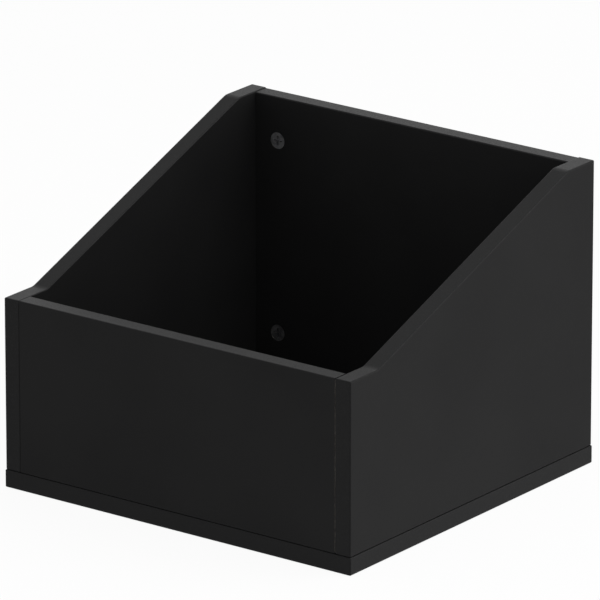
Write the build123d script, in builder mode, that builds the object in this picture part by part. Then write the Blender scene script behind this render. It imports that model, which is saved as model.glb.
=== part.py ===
from build123d import *
from math import atan2, radians, tan
import os

os.makedirs("parts", exist_ok=True)

# The box stands on its base with the front towards -Y and its width along X.
# The origin is on the floor, under the middle of the box. All sizes are in millimetres.

# Outside of the box
body_width = 366.0
body_depth = 350.0
front_rim_height = 171.0
rear_rim_height = 274.0

# Boards, faced on both sides
board = 16.0
base_overhang = 0.6
back_panel_drop = 0.7

# Sloping top line of the two sides
front_flat = 39.0
rear_flat = 39.0
bend_radius = 15.0

# Edge bands: strips glued to the cut edges, with their long edges trimmed round
band = 1.3
band_rounding = 1.2

# Fits: play round a bore, room at its bottom, and the fine joint at each end of a panel
bore_clearance = 0.05
end_gap = 0.5
joint_gap = 0.2

# Shape of a thread, as shares of its pitch: up the flank, along the crest, down the flank
flank_share = 0.35
crest_share = 0.15

# Cam locks, set in the inner faces of the front and back panels
cam_diameter = 14.9
cam_setback = 24.0
cam_edge_distance = 40.0
cam_recess = 0.3
cam_bore_gap = 0.2
cam_throw = 0.5
cam_grip_distance = 4.9
cam_pocket_diameter = 11.4
cam_floor = 1.0
cam_slot_play = 0.25
cam_entry_play = 0.3
cross_length = 9.0
cross_width = 1.7
cross_floor = 1.2
arrow_length = 1.3
arrow_width = 2.2
arrow_depth = 0.4
arrow_margin = 0.8

# Bolts that the cams pull on, screwed into the inner faces of the sides
bolt_thread_length = 11.0
bolt_thread_diameter = 6.2
bolt_core_diameter = 4.4
bolt_thread_pitch = 2.5
bolt_shank_diameter = 7.0
bolt_shank_gap = 2.0
bolt_neck_diameter = 5.0
bolt_head_diameter = 7.0
bolt_head_thickness = 2.1
bolt_head_play = 1.0
bolt_drive_length = 3.6
bolt_drive_width = 0.9
bolt_drive_depth = 1.2

# Wooden dowels between the sides and the front and back panels
dowel_diameter = 8.0
dowel_length = 30.0
dowel_in_side = 10.0
dowel_chamfer = 1.0
flute_count = 14
flute_radius = 0.35
front_dowels = 1
back_dowels = 2

# One-piece connector screws, driven up through the base
screw_length = 50.0
screw_head_diameter = 10.0
screw_head_angle = 90.0
screw_collar_diameter = 7.0
screw_thread_diameter = 6.6
screw_core_diameter = 4.8
screw_thread_pitch = 3.0
screw_recess = 0.3
screw_tip_length = 3.0
screw_socket_width = 4.0
screw_socket_depth = 2.5
side_screw_inset = 60.0
cross_screw_inset = 70.0

# Places worked out from the sizes above
half_width = body_width / 2
half_depth = body_depth / 2
inner_half_width = half_width - board
inner_half_depth = half_depth - board
panel_half_width = inner_half_width - joint_gap
base_half_width = half_width + base_overhang
base_half_depth = half_depth + base_overhang
back_top = rear_rim_height - back_panel_drop
slope_angle = atan2(rear_rim_height - front_rim_height, body_depth - front_flat - rear_flat)
LEFT = -1
RIGHT = 1

# The front panel faces the inside towards +Y and the back panel towards -Y.
# Each row: name, inward direction, height of its top, number of dowels at each end.
crosspieces = (
    ("front", 1, front_rim_height, front_dowels),
    ("back", -1, back_top, back_dowels),
)


def cam_heights(top):
    """Heights of the lower and the upper cam lock of a panel whose top is at the given height."""
    return board + cam_edge_distance, top - cam_edge_distance


def dowel_heights(top, count):
    """Heights of the dowels, spread evenly between the two cam locks."""
    low, high = cam_heights(top)
    return [low + (high - low) * (place + 1) / (count + 1) for place in range(count)]


def end_joint_planes(side, inward, heights):
    """Planes on a side's inner face, opposite the panel's end, that look towards the other side."""
    middle = -inward * (half_depth - board / 2)
    x = side * inner_half_width
    return [Plane(origin=(x, middle, z), x_dir=(0, 1, 0), z_dir=(-side, 0, 0)) for z in heights]


def panel_end_planes(side, inward, heights):
    """The same places as seen from the side, that look out of the panel's end."""
    middle = -inward * (half_depth - board / 2)
    x = side * inner_half_width
    return [Plane(origin=(x, middle, z), x_dir=(0, 1, 0), z_dir=(side, 0, 0)) for z in heights]


def cam_plane(side, inward, height):
    """Plane at a cam lock's mouth: it looks out of the board, with X towards the bolt."""
    origin = (side * (inner_half_width - cam_setback), -inward * inner_half_depth, height)
    return Plane(origin=origin, x_dir=(side, 0, 0), z_dir=(0, inward, 0))


def thread_rings(core, crest, start, pitch, count):
    """Outline of a thread drawn as rings: radius and distance along the axis of each corner."""
    points = []
    for ring in range(count):
        foot = start + ring * pitch
        points.append((core, foot))
        points.append((crest, foot + flank_share * pitch))
        points.append((crest, foot + (flank_share + crest_share) * pitch))
        points.append((core, foot + (2 * flank_share + crest_share) * pitch))
    return points


# Places of the fasteners
side_screw_places = [
    (side * (half_width - board / 2), y)
    for side in (LEFT, RIGHT)
    for y in (side_screw_inset - half_depth, 0, half_depth - side_screw_inset)
]
cross_screw_places = [
    (side * (inner_half_width - cross_screw_inset), end * (half_depth - board / 2))
    for side in (LEFT, RIGHT)
    for end in (-1, 1)
]

# Cam lock, drawn with its mouth at the board's face and its bolt coming in along +X.
# Its hollow is off centre, so that half a turn draws the bolt's head inwards or lets it go.
bolt_axis_depth = board / 2
head_hollow_half = bolt_head_diameter / 2 + cam_entry_play
neck_slot_half = bolt_neck_diameter / 2 + cam_slot_play
cam_radius = cam_diameter / 2
cam_height = bolt_axis_depth + head_hollow_half + cam_floor - cam_recess
cam_bore_depth = cam_recess + cam_height + cam_bore_gap
cross_depth = bolt_axis_depth - head_hollow_half - cam_recess - cross_floor

with BuildPart() as cam_lock:
    with BuildSketch(Plane.XY.offset(-cam_recess)):
        Circle(cam_radius)
    extrude(amount=-cam_height)
    # Lips that hold the head
    with BuildSketch(Plane.XY.offset(-bolt_axis_depth)):
        with Locations((-cam_throw, 0)):
            Circle(cam_grip_distance + cam_throw)
    extrude(amount=head_hollow_half, both=True, mode=Mode.SUBTRACT)
    # Wider pocket for the head's rim, and the half-turn slot that the bolt's neck runs in
    with BuildSketch(Plane.XY.offset(-bolt_axis_depth)):
        Circle(cam_pocket_diameter / 2)
        with Locations((0, -cam_diameter / 2)):
            Rectangle(2 * cam_diameter, cam_diameter)
        with Locations((cam_diameter / 2, 0)):
            Rectangle(cam_diameter, 2 * neck_slot_half)
    extrude(amount=neck_slot_half, both=True, mode=Mode.SUBTRACT)
    # Opening where the head goes in when the lock is open
    with BuildSketch(Plane.YZ):
        with Locations((0, -bolt_axis_depth)):
            Circle(head_hollow_half)
    extrude(amount=-cam_diameter, mode=Mode.SUBTRACT)
    # Cross for the screwdriver, and an arrow that points at the opening
    with BuildSketch(Plane.XY.offset(-cam_recess)):
        Rectangle(cross_length, cross_width)
        Rectangle(cross_width, cross_length)
    extrude(amount=-cross_depth, mode=Mode.SUBTRACT)
    with BuildSketch(Plane.XY.offset(-cam_recess)):
        arrow_tip = -(cam_radius - arrow_margin)
        with BuildLine():
            Polyline(
                (arrow_tip, 0),
                (arrow_tip + arrow_length, arrow_width / 2),
                (arrow_tip + arrow_length, -arrow_width / 2),
                close=True,
            )
        make_face()
    extrude(amount=-arrow_depth, mode=Mode.SUBTRACT)

for name, inward, top, _ in crosspieces:
    for side, side_name in ((LEFT, "left"), (RIGHT, "right")):
        for level, height in zip(("lower", "upper"), cam_heights(top)):
            with BuildPart() as placed_cam:
                with Locations(cam_plane(side, inward, height)):
                    add(cam_lock.part)
            label = f"{name}_{side_name}_{level}_cam"
            placed_cam.part.label = label
            export_step(placed_cam.part, f"parts/{label}.step")

# Cam bolt, drawn along +Z from the side's inner face, with its thread below the face
head_wide = cam_setback - (cam_grip_distance - bolt_head_play)
cone_length = (bolt_head_diameter - bolt_neck_diameter) / 2
head_tip = head_wide + bolt_head_thickness
shank_end = cam_setback - cam_diameter / 2 - bolt_shank_gap
bolt_rings = int(bolt_thread_length / bolt_thread_pitch)

with BuildPart() as cam_bolt:
    with BuildSketch(Plane.XZ):
        with BuildLine():
            Polyline(
                (0, -bolt_thread_length),
                *thread_rings(
                    bolt_core_diameter / 2,
                    bolt_thread_diameter / 2,
                    -bolt_thread_length,
                    bolt_thread_pitch,
                    bolt_rings,
                ),
                (bolt_core_diameter / 2, 0),
                (bolt_shank_diameter / 2, 0),
                (bolt_shank_diameter / 2, shank_end),
                (bolt_neck_diameter / 2, shank_end),
                (bolt_neck_diameter / 2, head_wide - cone_length),
                (bolt_head_diameter / 2, head_wide),
                (bolt_head_diameter / 2, head_tip),
                (0, head_tip),
                close=True,
            )
        make_face()
    revolve(axis=Axis.Z)
    with BuildSketch(Plane.XY.offset(head_tip)):
        Rectangle(bolt_drive_length, bolt_drive_width)
        Rectangle(bolt_drive_width, bolt_drive_length)
    extrude(amount=-bolt_drive_depth, mode=Mode.SUBTRACT)

with BuildPart() as cam_bolts:
    for _, inward, top, _ in crosspieces:
        for side in (LEFT, RIGHT):
            with Locations(end_joint_planes(side, inward, cam_heights(top))):
                add(cam_bolt.part)
cam_bolts.part.label = "cam_bolts"
export_step(cam_bolts.part, "parts/cam_bolts.step")

# Dowel, drawn like the bolt: the part below the plane is the part in the side
with BuildPart() as dowel:
    with BuildSketch(Plane.XY.offset(-dowel_in_side)):
        Circle(dowel_diameter / 2)
    extrude(amount=dowel_length)
    chamfer(dowel.edges().filter_by(GeomType.CIRCLE), length=dowel_chamfer)
    with BuildSketch(Plane.XY.offset(-dowel_in_side)):
        with PolarLocations(dowel_diameter / 2, flute_count):
            Circle(flute_radius)
    extrude(amount=dowel_length, mode=Mode.SUBTRACT)

with BuildPart() as wooden_dowels:
    for _, inward, top, count in crosspieces:
        for side in (LEFT, RIGHT):
            with Locations(end_joint_planes(side, inward, dowel_heights(top, count))):
                add(dowel.part)
wooden_dowels.part.label = "wooden_dowels"
export_step(wooden_dowels.part, "parts/wooden_dowels.step")

# Connector screw, drawn upwards from the underside of the base
screw_cone = (screw_head_diameter - screw_collar_diameter) / 2 / tan(radians(screw_head_angle / 2))
screw_tip = screw_recess + screw_length
thread_start = board
screw_rings = int((screw_tip - screw_tip_length - thread_start) / screw_thread_pitch)

with BuildPart() as base_screw:
    with BuildSketch(Plane.XZ):
        with BuildLine():
            Polyline(
                (0, screw_recess),
                (screw_head_diameter / 2, screw_recess),
                (screw_collar_diameter / 2, screw_recess + screw_cone),
                (screw_collar_diameter / 2, thread_start - end_gap),
                (screw_core_diameter / 2, thread_start - end_gap),
                *thread_rings(
                    screw_core_diameter / 2,
                    screw_thread_diameter / 2,
                    thread_start,
                    screw_thread_pitch,
                    screw_rings,
                ),
                (screw_core_diameter / 2, screw_tip - screw_tip_length),
                (0, screw_tip),
                close=True,
            )
        make_face()
    revolve(axis=Axis.Z)
    with BuildSketch(Plane.XY.offset(screw_recess)):
        RegularPolygon(screw_socket_width / 2, side_count=6, major_radius=False)
    extrude(amount=screw_socket_depth, mode=Mode.SUBTRACT)

with BuildPart() as base_screws:
    with Locations(side_screw_places, cross_screw_places):
        add(base_screw.part)
base_screws.part.label = "base_screws"
export_step(base_screws.part, "parts/base_screws.step")

# Base: banded all round, holed and countersunk, then taken apart into its board and its bands
with BuildPart() as base_blank:
    with BuildSketch():
        Rectangle(2 * base_half_width, 2 * base_half_depth)
    extrude(amount=board)
    fillet(base_blank.edges(), radius=band_rounding)
    underside = Plane.XY.rotated((180, 0, 0))
    with Locations(*[underside * Pos(x, -y) for x, y in side_screw_places + cross_screw_places]):
        CounterSinkHole(
            radius=screw_collar_diameter / 2 + bore_clearance,
            counter_sink_radius=screw_head_diameter / 2 + screw_recess + bore_clearance,
            depth=board,
            counter_sink_angle=screw_head_angle,
        )

base_core_width = 2 * (base_half_width - band)
base_core_depth = 2 * (base_half_depth - band)
for label, middle, width, depth in (
    ("base_panel", (0, 0), base_core_width, base_core_depth),
    ("base_front_band", (0, band / 2 - base_half_depth), 2 * base_half_width, band),
    ("base_rear_band", (0, base_half_depth - band / 2), 2 * base_half_width, band),
    ("base_left_band", (band / 2 - base_half_width, 0), band, base_core_depth),
    ("base_right_band", (base_half_width - band / 2, 0), band, base_core_depth),
):
    with BuildPart() as base_piece:
        add(base_blank.part)
        with BuildSketch():
            with Locations(middle):
                Rectangle(width, depth)
        extrude(amount=board, mode=Mode.INTERSECT)
    base_piece.part.label = label
    export_step(base_piece.part, f"parts/{label}.step")


def side_outline(inset):
    """Outline of a side in its own plane, drawn inset from its finished edges."""
    shift = inset * tan(slope_angle / 2)
    foot = board + inset
    low = front_rim_height - inset
    high = rear_rim_height - inset
    end = half_depth - inset
    top_line = FilletPolyline(
        (-end, low),
        (front_flat - half_depth + shift, low),
        (half_depth - rear_flat + shift, high),
        (end, high),
        radius=(bend_radius + inset, bend_radius - inset),
    )
    Polyline(top_line @ 1, (end, foot), (-end, foot), top_line @ 0)


# Bands of a side that are cut by a rectangle: name, middle, width and height.
# What they leave is the top band, which runs over the flats and the slope in one length.
side_bands = (
    ("front", (band / 2 - half_depth, (front_rim_height - band) / 2), band, front_rim_height - band),
    ("rear", (half_depth - band / 2, (rear_rim_height - band) / 2), band, rear_rim_height - band),
    ("bottom", (0, board + band / 2), 2 * (half_depth - band), band),
)

# Sides: banded all round and bored, then taken apart in the same way
for side, side_name in ((LEFT, "left"), (RIGHT, "right")):
    side_plane = Plane.YZ.offset(inner_half_width if side == RIGHT else -half_width)
    with BuildPart() as side_blank:
        with BuildSketch(side_plane):
            with BuildLine():
                side_outline(0)
            make_face()
        extrude(amount=board)
        long_edges = side_blank.faces().filter_by(Plane.YZ).edges()
        edges_across = side_blank.edges().filter_by(Axis.X).group_by(Axis.Y)
        fillet(long_edges + edges_across[0] + edges_across[-1], radius=band_rounding)
        for _, inward, top, count in crosspieces:
            with Locations(end_joint_planes(side, inward, cam_heights(top))):
                Hole(
                    radius=bolt_thread_diameter / 2 + bore_clearance,
                    depth=bolt_thread_length + end_gap,
                )
            with Locations(end_joint_planes(side, inward, dowel_heights(top, count))):
                Hole(radius=dowel_diameter / 2 + bore_clearance, depth=dowel_in_side + end_gap)
        with BuildSketch(Plane.XY.offset(board)):
            with Locations([place for place in side_screw_places if place[0] * side > 0]):
                Circle(screw_thread_diameter / 2 + bore_clearance)
        extrude(amount=screw_tip + end_gap - board, mode=Mode.SUBTRACT)

    with BuildPart() as side_panel:
        add(side_blank.part)
        with BuildSketch(side_plane):
            with BuildLine():
                side_outline(band)
            make_face()
        extrude(amount=board, mode=Mode.INTERSECT)
    side_panel.part.label = f"{side_name}_side_panel"
    export_step(side_panel.part, f"parts/{side_name}_side_panel.step")

    with BuildPart() as side_edging:
        add(side_blank.part)
        with BuildSketch(side_plane):
            with BuildLine():
                side_outline(band)
            make_face()
        extrude(amount=board, mode=Mode.SUBTRACT)

    for place, middle, width, height in side_bands:
        with BuildPart() as side_band:
            add(side_edging.part)
            with BuildSketch(side_plane):
                with Locations(middle):
                    Rectangle(width, height)
            extrude(amount=board, mode=Mode.INTERSECT)
        side_band.part.label = f"{side_name}_side_{place}_band"
        export_step(side_band.part, f"parts/{side_name}_side_{place}_band.step")

    with BuildPart() as top_band:
        add(side_edging.part)
        with BuildSketch(side_plane):
            for _, middle, width, height in side_bands:
                with Locations(middle):
                    Rectangle(width, height)
        extrude(amount=board, mode=Mode.SUBTRACT)
    top_band.part.label = f"{side_name}_side_top_band"
    export_step(top_band.part, f"parts/{side_name}_side_top_band.step")

# Front and back panels: banded on top and below, with sawn ends that meet the sides, and bored.
# The blank is then taken apart into the board and its two bands.
for name, inward, top, count in crosspieces:
    middle = -inward * (half_depth - board / 2)
    with BuildPart() as panel_blank:
        with BuildSketch(Plane.XY.offset(board)):
            with Locations((0, middle)):
                Rectangle(2 * panel_half_width, board)
        extrude(amount=top - board)
        fillet(panel_blank.edges().filter_by(Axis.X), radius=band_rounding)
        for side in (LEFT, RIGHT):
            with Locations([cam_plane(side, inward, height) for height in cam_heights(top)]):
                Hole(radius=cam_radius + bore_clearance, depth=cam_bore_depth)
            with Locations(panel_end_planes(side, inward, cam_heights(top))):
                Hole(radius=head_hollow_half + bore_clearance, depth=cam_setback)
            with Locations(panel_end_planes(side, inward, dowel_heights(top, count))):
                Hole(
                    radius=dowel_diameter / 2 + bore_clearance,
                    depth=dowel_length - dowel_in_side + end_gap,
                )
        with BuildSketch(Plane.XY.offset(board)):
            with Locations([place for place in cross_screw_places if place[1] * middle > 0]):
                Circle(screw_thread_diameter / 2 + bore_clearance)
        extrude(amount=screw_tip + end_gap - board, mode=Mode.SUBTRACT)

    for kind, foot, height in (
        ("panel", board + band, top - board - 2 * band),
        ("top_band", top - band, band),
        ("bottom_band", board, band),
    ):
        with BuildPart() as panel_piece:
            add(panel_blank.part)
            with BuildSketch(Plane.XY.offset(foot)):
                with Locations((0, middle)):
                    Rectangle(2 * panel_half_width, board)
            extrude(amount=height, mode=Mode.INTERSECT)
        panel_piece.part.label = f"{name}_{kind}"
        export_step(panel_piece.part, f"parts/{name}_{kind}.step")
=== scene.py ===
"""A black flat-pack record storage box, finished board by board in the order it goes together."""

import math
import bpy
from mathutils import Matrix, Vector


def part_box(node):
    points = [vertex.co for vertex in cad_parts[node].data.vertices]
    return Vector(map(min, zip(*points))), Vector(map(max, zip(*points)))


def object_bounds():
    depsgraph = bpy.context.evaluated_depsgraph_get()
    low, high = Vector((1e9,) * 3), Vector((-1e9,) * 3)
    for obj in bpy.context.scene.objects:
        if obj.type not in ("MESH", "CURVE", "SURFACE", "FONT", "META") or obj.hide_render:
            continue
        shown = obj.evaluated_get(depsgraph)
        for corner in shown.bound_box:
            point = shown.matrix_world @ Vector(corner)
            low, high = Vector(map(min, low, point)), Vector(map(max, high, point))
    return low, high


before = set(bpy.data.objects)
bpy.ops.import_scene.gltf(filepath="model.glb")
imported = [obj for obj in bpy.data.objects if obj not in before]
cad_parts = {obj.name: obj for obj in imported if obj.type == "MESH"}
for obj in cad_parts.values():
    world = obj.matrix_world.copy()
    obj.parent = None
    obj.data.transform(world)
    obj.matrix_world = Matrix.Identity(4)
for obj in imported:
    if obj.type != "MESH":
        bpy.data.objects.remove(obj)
cad_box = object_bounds()

# Base board
# A full-size chipboard board under everything, faced above and below with a hard black melamine
# paper. It is cut square, banded on all four edges and drilled for the connector screws.
MELAMINE_THICKNESS = 0.0002
MELAMINE_BLACK = (0.0116, 0.0116, 0.0118, 1)
MELAMINE_WORN = (0.0138, 0.0138, 0.0139, 1)
MELAMINE_SHEEN = 0.05
WIPED_ROUGHNESS = (0.37, 0.44)
SCUFFED_ROUGHNESS = 0.05
SWELL_DEPTH = 0.00003
PEARL_DEPTH = 0.000012
CHIPBOARD_PALE = (0.25, 0.235, 0.21, 1)
CHIPBOARD_DARK = (0.10, 0.095, 0.085, 1)
CHIPBOARD_ROUGHNESS = 0.45
CHIPS_PER_METRE = 420.0


def new_finish(name):
    """An empty material with one shader in it: the material, its node tree and the shader."""
    material = bpy.data.materials.new(name)
    material.use_nodes = True
    tree = material.node_tree
    tree.nodes.clear()
    shader = tree.nodes.new("ShaderNodeBsdfPrincipled")
    output = tree.nodes.new("ShaderNodeOutputMaterial")
    tree.links.new(shader.outputs["BSDF"], output.inputs["Surface"])
    return material, tree, shader


def put(tree, kind, links=None, **settings):
    """Adds a node. Settings with the name of a socket fill it, others set the node itself."""
    node = tree.nodes.new("ShaderNode" + kind)
    for key, value in settings.items():
        if hasattr(node, key):
            setattr(node, key, value)
        else:
            node.inputs[key.replace("_", " ").title()].default_value = value
    for socket, source in (links or {}).items():
        tree.links.new(source, node.inputs[socket])
    return node


def place_on_object(tree, stretch=(1, 1, 1)):
    """The point on the object in metres, scaled along each axis so that a grain can run one way."""
    where = put(tree, "TexCoord").outputs["Object"]
    return put(tree, "Mapping", {"Vector": where}, Scale=stretch).outputs["Vector"]


def noise(tree, where, per_metre, detail=2.0, rough=0.5):
    """A soft random pattern of so many waves to the metre."""
    node = put(tree, "TexNoise", {"Vector": where}, Scale=per_metre, Detail=detail, Roughness=rough)
    return node.outputs["Fac"]


def spread(tree, value, low, high, to_low, to_high):
    """The value moved from one range to another, without going past either end."""
    node = put(tree, "MapRange", {"Value": value}, clamp=True)
    ends = {"From Min": low, "From Max": high, "To Min": to_low, "To Max": to_high}
    for socket, number in ends.items():
        node.inputs[socket].default_value = number
    return node.outputs["Result"]


def work_out(tree, operation, first, second=None):
    """A sum on one or two values that vary over the surface, or on plain numbers."""
    node = put(tree, "Math", operation=operation)
    for socket, value in zip(node.inputs, (first, second)):
        if isinstance(value, (int, float)):
            socket.default_value = value
        elif value is not None:
            tree.links.new(value, socket)
    return node.outputs["Value"]


def mixed(tree, share, first, second):
    """Two colours mixed by a share that varies over the surface."""
    node = put(tree, "Mix", data_type="RGBA")
    tree.links.new(share, node.inputs["Factor"])
    for name, value in (("A", first), ("B", second)):
        socket = [s for s in node.inputs if s.name == name and s.type == "RGBA"][0]
        if isinstance(value, tuple):
            socket.default_value = value
        else:
            tree.links.new(value, socket)
    return [s for s in node.outputs if s.type == "RGBA"][0]


def raised(tree, shader, height, depth, under=None):
    """Bump from a height between 0 and 1, with its real depth in metres."""
    links = {"Height": height}
    if under is not None:
        links["Normal"] = under
    bump = put(tree, "Bump", links, Strength=1.0, Distance=depth)
    tree.links.new(bump.outputs["Normal"], shader.inputs["Normal"])
    return bump.outputs["Normal"]


def board_finish(name, axis, low, high):
    """Melamine-faced chipboard whose two faces lie at low and high along an axis, in metres."""
    material, tree, shader = new_finish(name)
    where = place_on_object(tree)
    # Melamine: even black with a faint cloudiness, scuffed a little duller here and there
    clouds = noise(tree, where, 9, detail=3)
    scuffs = spread(tree, noise(tree, where, 38, detail=4, rough=0.6), 0.58, 0.80, 0, 1)
    face = mixed(tree, spread(tree, clouds, 0.35, 0.65, 0, 1), MELAMINE_BLACK, MELAMINE_WORN)
    # Core: pressed chips that show on every sawn edge and in the bores
    chips = put(tree, "TexVoronoi", {"Vector": where}, Scale=CHIPS_PER_METRE, Randomness=1.0)
    chip_tone = spread(tree, chips.outputs["Color"], 0.1, 0.9, 0, 1)
    core = mixed(tree, chip_tone, CHIPBOARD_DARK, CHIPBOARD_PALE)
    along = put(tree, "SeparateXYZ", {"Vector": put(tree, "TexCoord").outputs["Object"]}).outputs[axis]
    from_middle = work_out(tree, "ABSOLUTE", work_out(tree, "SUBTRACT", along, (low + high) / 2))
    inside = work_out(tree, "LESS_THAN", from_middle, (high - low) / 2 - MELAMINE_THICKNESS)
    tree.links.new(mixed(tree, inside, face, core), shader.inputs["Base Color"])
    # A satin sheen with a fine pearl, and faint wiping marks that catch the light
    pearl = noise(tree, where, 2600, detail=2)
    wiped = noise(tree, place_on_object(tree, (30, 200, 200)), 1, detail=5, rough=0.7)
    scuffed = work_out(tree, "MULTIPLY", scuffs, SCUFFED_ROUGHNESS)
    satin = work_out(tree, "ADD", spread(tree, wiped, 0.3, 0.7, *WIPED_ROUGHNESS), scuffed)
    core_roughness = work_out(tree, "MULTIPLY", inside, CHIPBOARD_ROUGHNESS)
    tree.links.new(work_out(tree, "ADD", satin, core_roughness), shader.inputs["Roughness"])
    swell = noise(tree, where, 120, detail=1)
    under = raised(tree, shader, swell, SWELL_DEPTH)
    raised(tree, shader, pearl, PEARL_DEPTH, under=under)
    shader.inputs["Specular IOR Level"].default_value = MELAMINE_SHEEN
    return material


def dress(node, material):
    """Puts a finish on a CAD piece, in place of the plain one that it comes with."""
    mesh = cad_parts[node].data
    mesh.materials.clear()
    mesh.materials.append(material)


base_low, base_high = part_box("base_panel")
dress("base_panel", board_finish("base_board", "Z", base_low[2], base_high[2]))

# Base edge bands
# Four strips of black ABS, 1.3 mm thick, glued round the base board. Their long edges are trimmed
# round, and their face keeps the fine matt grain of the roller that made the strip.
BAND_BLACK = (0.0074, 0.0074, 0.0076, 1)
BAND_PALE = (0.0140, 0.0140, 0.0142, 1)
BAND_EDGE = (0.0100, 0.0100, 0.0101, 1)
BAND_SHEEN = 0.09
BAND_ROUGHNESS = (0.29, 0.45)
BAND_GRAIN_DEPTH = 0.00004
HANDLED_EDGE = 0.0006
HANDLED_POLISH = 0.12


def band_finish(name):
    """Black ABS edging: a fine speckled grain, with its rounded edges polished by handling."""
    material, tree, shader = new_finish(name)
    where = place_on_object(tree)
    grain = noise(tree, where, 800, detail=4, rough=0.6)
    specks = spread(tree, noise(tree, where, 900, detail=1), 0.55, 0.72, 0, 1)
    skin = mixed(tree, specks, BAND_BLACK, BAND_PALE)
    # Where the surface bends within half a millimetre, hands and cloths have polished it
    soft_normal = put(tree, "Bevel", Radius=HANDLED_EDGE, samples=4).outputs["Normal"]
    true_normal = put(tree, "NewGeometry").outputs["Normal"]
    turned = put(tree, "VectorMath", {0: soft_normal, 1: true_normal}, operation="DOT_PRODUCT")
    edge = spread(tree, turned.outputs["Value"], 0.995, 0.93, 0, 1)
    patches = spread(tree, noise(tree, where, 60, detail=3), 0.4, 0.65, 0.15, 1)
    worn = work_out(tree, "MULTIPLY", edge, patches)
    tree.links.new(mixed(tree, worn, skin, BAND_EDGE), shader.inputs["Base Color"])
    matt = spread(tree, grain, 0.3, 0.7, *BAND_ROUGHNESS)
    polished = work_out(tree, "MULTIPLY", worn, HANDLED_POLISH)
    tree.links.new(work_out(tree, "SUBTRACT", matt, polished), shader.inputs["Roughness"])
    raised(tree, shader, grain, BAND_GRAIN_DEPTH)
    shader.inputs["Specular IOR Level"].default_value = BAND_SHEEN
    return material


edging = band_finish("edge_band")
for place in ("front", "rear", "left", "right"):
    dress(f"base_{place}_band", edging)

# Sides
# Two boards with the sloping top line, standing on the base. Each is banded with four strips: up
# its front edge, in one run over the flats, the bends and the slope, up its rear, and along below.
for side in ("left", "right"):
    low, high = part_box(f"{side}_side_panel")
    dress(f"{side}_side_panel", board_finish(f"{side}_side_board", "X", low[0], high[0]))
    for place in ("front", "rear", "bottom", "top"):
        dress(f"{side}_side_{place}_band", edging)

# Front and back panels
# Boards that stand between the sides, banded on top and below. Their ends are left as sawn, because
# the sides cover them, and the grey chips show only as a fine light line in the joint on the right.
for place in ("front", "back"):
    low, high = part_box(f"{place}_panel")
    dress(f"{place}_panel", board_finish(f"{place}_board", "Y", low[1], high[1]))
    for edge in ("top", "bottom"):
        dress(f"{place}_{edge}_band", edging)

# Dowels
# Fluted beech dowels, glued into the sides and pushed into the ends of the front and back panels.
# Their grain runs along them, which is across the box.
BEECH_LIGHT = (0.66, 0.48, 0.30, 1)
BEECH_DARK = (0.42, 0.26, 0.14, 1)
BEECH_ROUGHNESS = (0.55, 0.70)
BEECH_GRAIN_DEPTH = 0.00008
beech, tree, shader = new_finish("beech_dowel")
streaks = noise(tree, place_on_object(tree, (40, 900, 900)), 1, detail=4, rough=0.6)
pores = noise(tree, place_on_object(tree, (180, 2600, 2600)), 1, detail=2)
flecks = spread(tree, pores, 0.62, 0.72, 0, 0.6)
wood = mixed(tree, spread(tree, streaks, 0.35, 0.65, 0, 1), BEECH_LIGHT, BEECH_DARK)
tree.links.new(mixed(tree, flecks, wood, BEECH_DARK), shader.inputs["Base Color"])
tree.links.new(spread(tree, streaks, 0.3, 0.7, *BEECH_ROUGHNESS), shader.inputs["Roughness"])
raised(tree, shader, streaks, BEECH_GRAIN_DEPTH)
dress("wooden_dowels", beech)

# Cam bolts and connector screws
# Turned and rolled steel, zinc plated: bright, faintly blue, with turning lines round the shanks.
# The bolts go into the sides before the box is put together, the screws go in last from below.
ZINC_PLATE = (0.60, 0.62, 0.64, 1)
ZINC_DULL = (0.36, 0.37, 0.38, 1)
PLATED_ROUGHNESS = (0.22, 0.38)
TURNING_DEPTH = 0.000012
TURNING_LINES = {"cam_bolts": (1800, 60, 60), "base_screws": (60, 60, 1800)}
for node, turning in TURNING_LINES.items():
    plated, tree, shader = new_finish(f"{node}_steel")
    lines = noise(tree, place_on_object(tree, turning), 1, detail=3)
    spots = noise(tree, place_on_object(tree), 350, detail=3, rough=0.6)
    tint = mixed(tree, spread(tree, spots, 0.45, 0.7, 0, 1), ZINC_PLATE, ZINC_DULL)
    tree.links.new(tint, shader.inputs["Base Color"])
    tree.links.new(spread(tree, lines, 0.3, 0.7, *PLATED_ROUGHNESS), shader.inputs["Roughness"])
    raised(tree, shader, lines, TURNING_DEPTH)
    shader.inputs["Metallic"].default_value = 1.0
    dress(node, plated)

# Cam locks
# Zinc castings pushed into the bores of the front and back panels, each with a cross to turn it by
# and an arrow that shows how it stands. Tumbling has left them a soft grey with darker stains.
CAST_ZINC = (0.40, 0.40, 0.41, 1)
CAST_STAIN = (0.22, 0.22, 0.23, 1)
CAST_ROUGHNESS = (0.34, 0.52)
CAST_DEPTH = 0.000012
casting, tree, shader = new_finish("cast_zinc")
where = place_on_object(tree)
tumbled = noise(tree, where, 2400, detail=3, rough=0.6)
stained = noise(tree, where, 260, detail=3)
grey = mixed(tree, spread(tree, stained, 0.4, 0.65, 0, 1), CAST_ZINC, CAST_STAIN)
tree.links.new(grey, shader.inputs["Base Color"])
tree.links.new(spread(tree, tumbled, 0.3, 0.7, *CAST_ROUGHNESS), shader.inputs["Roughness"])
raised(tree, shader, tumbled, CAST_DEPTH)
shader.inputs["Metallic"].default_value = 1.0
for place in ("front", "back"):
    for side in ("left", "right"):
        for level in ("lower", "upper"):
            dress(f"{place}_{side}_{level}_cam", casting)

# Floor
# A wide white studio floor, a hair under the base. It takes the object's shadow softly, and can be
# seen through from below, so that the underside of the box can be looked at.
FLOOR_HALF = 30.0
FLOOR_LEVEL = -0.0003
FLOOR_WHITE = (0.86, 0.86, 0.86, 1)
FLOOR_GLOW = 0.93


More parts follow.
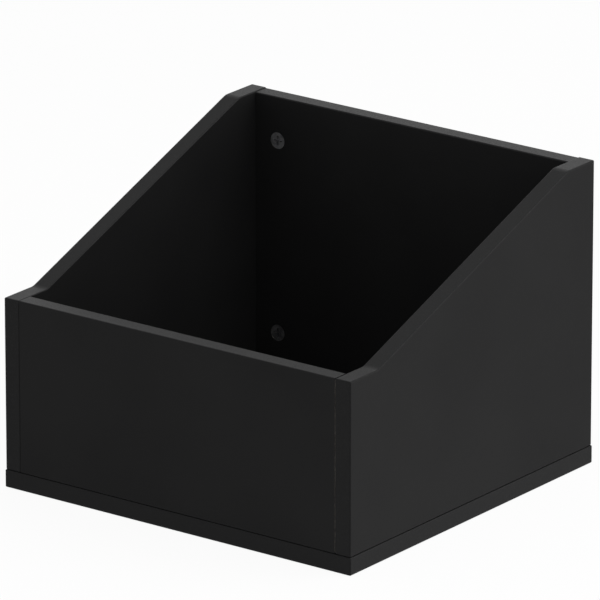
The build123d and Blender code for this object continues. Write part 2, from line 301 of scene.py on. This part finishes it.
def seen_share(tree):
    """1 where the camera sees a surface, also in a mirror or through glass, 0 where it only lights."""
    path = put(tree, "LightPath")
    camera_ray, glossy_ray = path.outputs["Is Camera Ray"], path.outputs["Is Glossy Ray"]
    passed = work_out(tree, "MAXIMUM", glossy_ray, path.outputs["Is Transmission Ray"])
    return work_out(tree, "MAXIMUM", camera_ray, passed)


floor_mesh = bpy.data.meshes.new("floor")
turns = ((-1, -1), (1, -1), (1, 1), (-1, 1))
corners = [(x * FLOOR_HALF, y * FLOOR_HALF, FLOOR_LEVEL) for x, y in turns]
floor_mesh.from_pydata(corners, [], [(0, 1, 2, 3)])
floor = bpy.data.objects.new("floor", floor_mesh)
bpy.context.scene.collection.objects.link(floor)
floor_paint = bpy.data.materials.new("studio_floor")
floor_paint.use_nodes = True
tree = floor_paint.node_tree
tree.nodes.clear()
matt = put(tree, "BsdfDiffuse", Color=FLOOR_WHITE)
glow = put(tree, "Emission", Color=(1, 1, 1, 1), Strength=1.0)
clear = put(tree, "BsdfTransparent")
share = work_out(tree, "MULTIPLY", seen_share(tree), FLOOR_GLOW)
lit = put(tree, "MixShader", {0: share, 1: matt.outputs[0], 2: glow.outputs[0]})
from_below = put(tree, "NewGeometry").outputs["Backfacing"]
whole = put(tree, "MixShader", {0: from_below, 1: lit.outputs[0], 2: clear.outputs[0]})
put(tree, "OutputMaterial", {"Surface": whole.outputs[0]})
floor_mesh.materials.append(floor_paint)

# Light
# White surroundings on all sides, seen as pure white. A large soft lamp hangs above the right, so
# that it reaches down the inside of the left side, and a low one makes the right side the lighter.
ROOM_STRENGTH = 0.56
world = bpy.data.worlds.new("studio")
world.use_nodes = True
bpy.context.scene.world = world
tree = world.node_tree
tree.nodes.clear()
room = put(tree, "Background", Color=(1, 1, 1, 1))
strength = spread(tree, seen_share(tree), 0, 1, ROOM_STRENGTH, 1.0)
tree.links.new(strength, room.inputs["Strength"])
put(tree, "OutputWorld", {"Surface": room.outputs[0]})


def soft_lamp(name, place, size, watts):
    """A square soft lamp that hangs at a place and faces the middle of the box."""
    lamp = bpy.data.lights.new(name, "AREA")
    lamp.size = size
    lamp.energy = watts
    hung = bpy.data.objects.new(name, lamp)
    hung.location = place
    middle = Vector((0, 0, cad_box[1][2] / 2))
    hung.rotation_euler = (middle - Vector(place)).to_track_quat("-Z", "Y").to_euler()
    bpy.context.scene.collection.objects.link(hung)


soft_lamp("overhead", place=(1.3, 0.3, 2.5), size=2.6, watts=46)
soft_lamp("right_rear", place=(2.6, 1.7, 0.9), size=1.8, watts=26)

# Camera
# A long lens from the right of the front and a little above, as in the photograph.
AZIMUTH = math.radians(36.75)
ELEVATION = math.radians(18.67)
DISTANCE = 7.5963
LENS = 533.5
SENSOR_WIDTH = 36
CLIP_END = 100
AIM = Vector((-0.00373, 0.00529, 0.15616))
camera_data = bpy.data.cameras.new("camera")
camera_data.sensor_width = SENSOR_WIDTH
camera_data.lens = LENS
camera_data.clip_end = CLIP_END
camera = bpy.data.objects.new("camera", camera_data)
level = math.cos(ELEVATION)
ahead = Vector((-math.sin(AZIMUTH) * level, math.cos(AZIMUTH) * level, -math.sin(ELEVATION)))
camera.location = AIM - DISTANCE * ahead
camera.rotation_euler = ahead.to_track_quat("-Z", "Y").to_euler()
bpy.context.scene.collection.objects.link(camera)
bpy.context.scene.camera = camera
bpy.context.scene.view_settings.view_transform = "Standard"
